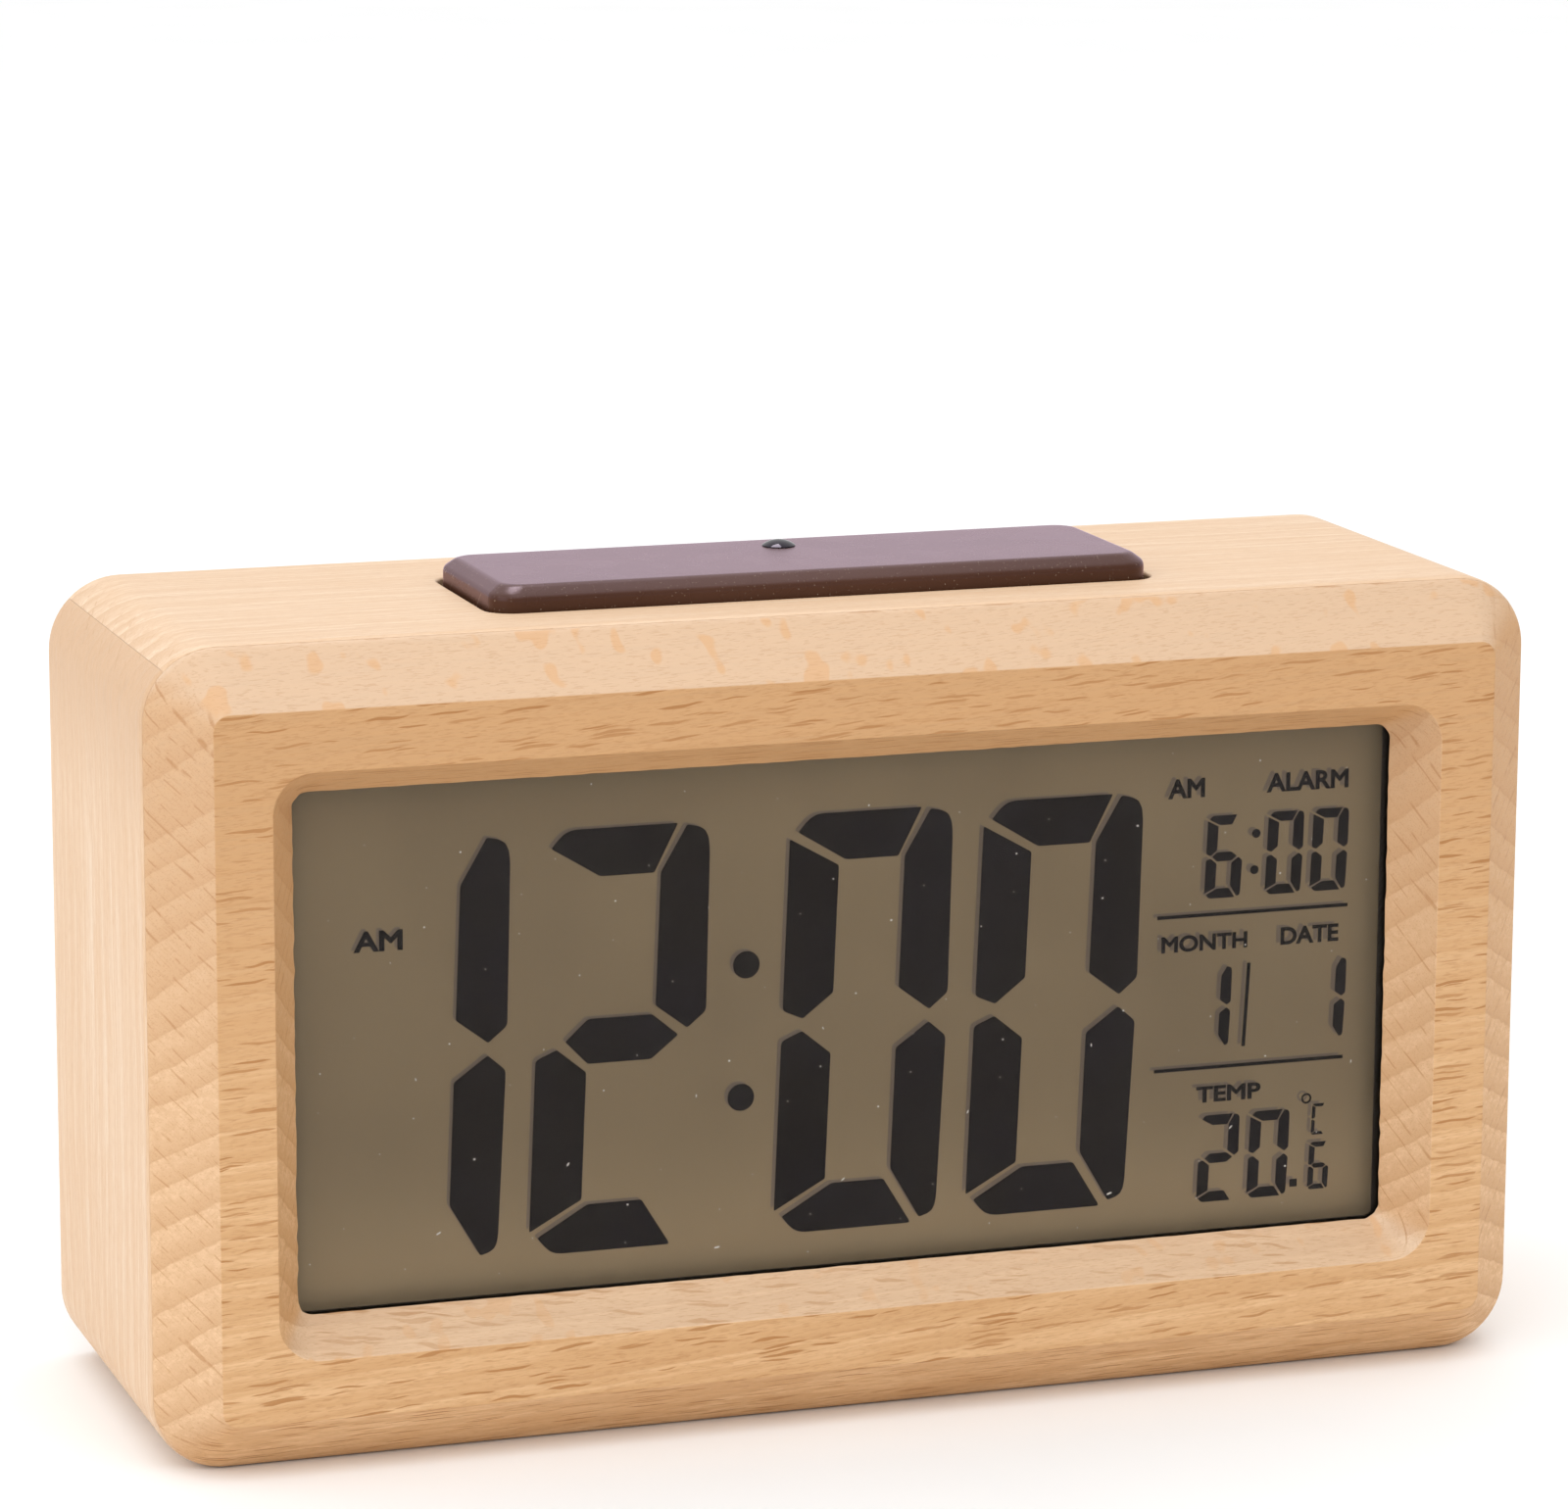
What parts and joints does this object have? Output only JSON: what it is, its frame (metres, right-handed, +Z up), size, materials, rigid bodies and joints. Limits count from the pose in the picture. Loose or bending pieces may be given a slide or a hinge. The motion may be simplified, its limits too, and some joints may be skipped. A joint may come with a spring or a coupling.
{
  "type": "digital alarm clock",
  "caption": "Wooden digital table alarm clock with a liquid-crystal display, a snooze bar on top, rear keys and a battery bay.",
  "frame": {"origin": "middle of the underside", "axes": "+Z up, the display faces -Y, +X to the viewer's right"},
  "size_m": [0.14, 0.0464, 0.0821],
  "materials": {
    "beech": "fine-sanded beech with an oiled satin finish",
    "lcd_film": "grey-brown polarising film, satin gloss",
    "lcd_glass": "clear float glass",
    "light_guide": "clear acrylic",
    "white_plastic": "white moulded plastic, fine texture",
    "brown_plastic": "brown moulded plastic, satin",
    "black_plastic": "black moulded plastic, satin",
    "grey_plastic": "grey moulded plastic",
    "dark_lens": "smoked clear plastic, polished",
    "circuit_board": "green solder mask on glass fibre",
    "resin": "black potting resin",
    "zebra_rubber": "layered conductive rubber",
    "steel": "nickel-plated steel",
    "cell_sleeve": "printed plastic sleeve on a metal can",
    "lead_sleeve": "black insulated wire",
    "ribbon": "grey flat cable"
  },
  "bodies": {
    "case": {"front_board": "beech", "case_top_board": "beech", "case_bottom_board": "beech", "case_left_board": "beech", "case_right_board": "beech", "lcd_front_polariser": "lcd_film", "lcd_front_glass": "lcd_glass", "lcd_rear_glass": "lcd_glass", "light_guide": "light_guide", "backlight_led_board": "white_plastic", "lcd_frame": "white_plastic", "zebra_strip": "zebra_rubber", "frame_screw_1": "steel", "frame_screw_2": "steel", "frame_screw_3": "steel", "frame_screw_4": "steel", "main_pcb": "circuit_board", "chip_potting": "resin", "quartz_crystal": "steel", "bar_carrier": "black_plastic", "bar_spring_left": "steel", "bar_spring_right": "steel", "carrier_screw_left": "steel", "carrier_screw_right": "steel", "switch_board": "circuit_board", "snooze_switch_body": "black_plastic", "light_sensor": "dark_lens", "switch_ribbon": "ribbon", "rear_cover": "brown_plastic", "cover_screw_1": "steel", "cover_screw_2": "steel", "cover_screw_3": "steel", "cover_screw_4": "steel", "battery_cell_1": "cell_sleeve", "battery_cell_2": "cell_sleeve", "battery_cell_3": "cell_sleeve", "battery_contact_plus": "steel", "battery_contact_minus": "steel", "battery_bridge_left": "steel", "battery_bridge_right": "steel", "battery_lead": "lead_sleeve", "key_board": "circuit_board", "set_switch_body": "black_plastic", "up_switch_body": "black_plastic", "down_switch_body": "black_plastic", "alarm_switch_body": "steel", "buzzer": "black_plastic", "temperature_sensor": "resin", "display_ribbon": "ribbon"},
    "bar": {"snooze_bar": "brown_plastic", "sensor_lens": "dark_lens"},
    "snooze_plunger": {"snooze_switch_plunger": "grey_plastic"},
    "set_button": {"set_key": "black_plastic"},
    "set_plunger": {"set_switch_plunger": "grey_plastic"},
    "up_button": {"up_key": "black_plastic"},
    "up_plunger": {"up_switch_plunger": "grey_plastic"},
    "down_button": {"down_key": "black_plastic"},
    "down_plunger": {"down_switch_plunger": "grey_plastic"},
    "alarm_slider": {"alarm_switch_knob": "black_plastic"},
    "door": {"battery_door": "brown_plastic"}
  },
  "joints": [
    {"name": "bar_press", "type": "slide", "parent": "case", "child": "bar", "axis": [0, 0, -1], "range_m": [0, 0.0008], "stiffness_N_per_m": 400, "springref_m": -0.001, "deforming": ["bar_spring_left", "bar_spring_right"]},
    {"name": "snooze_plunger_press", "type": "slide", "parent": "case", "child": "snooze_plunger", "axis": [0, 0, -1], "range_m": [0, 0.0008]},
    {"name": "set_key_press", "type": "slide", "parent": "case", "child": "set_button", "axis": [0, -1, 0], "range_m": [0, 0.0005], "stiffness_N_per_m": 1000, "springref_m": -0.0005},
    {"name": "set_plunger_press", "type": "slide", "parent": "case", "child": "set_plunger", "axis": [0, -1, 0], "range_m": [0, 0.0005]},
    {"name": "up_key_press", "type": "slide", "parent": "case", "child": "up_button", "axis": [0, -1, 0], "range_m": [0, 0.0005], "stiffness_N_per_m": 1000, "springref_m": -0.0005},
    {"name": "up_plunger_press", "type": "slide", "parent": "case", "child": "up_plunger", "axis": [0, -1, 0], "range_m": [0, 0.0005]},
    {"name": "down_key_press", "type": "slide", "parent": "case", "child": "down_button", "axis": [0, -1, 0], "range_m": [0, 0.0005], "stiffness_N_per_m": 1000, "springref_m": -0.0005},
    {"name": "down_plunger_press", "type": "slide", "parent": "case", "child": "down_plunger", "axis": [0, -1, 0], "range_m": [0, 0.0005]},
    {"name": "alarm_switch_slide", "type": "slide", "parent": "case", "child": "alarm_slider", "axis": [1, 0, 0], "range_m": [0, 0.002]},
    {"name": "battery_door_swing", "type": "hinge", "parent": "case", "child": "door", "pos_m": [-0.0275, 0.02185, 0.01095], "axis": [-1, 0, 0], "range_deg": [0, 95]}
  ],
  "couplings": [
    {"joint": "snooze_plunger_press", "follows": "bar_press", "ratio": 1},
    {"joint": "set_plunger_press", "follows": "set_key_press", "ratio": 1},
    {"joint": "up_plunger_press", "follows": "up_key_press", "ratio": 1},
    {"joint": "down_plunger_press", "follows": "down_key_press", "ratio": 1}
  ]
}
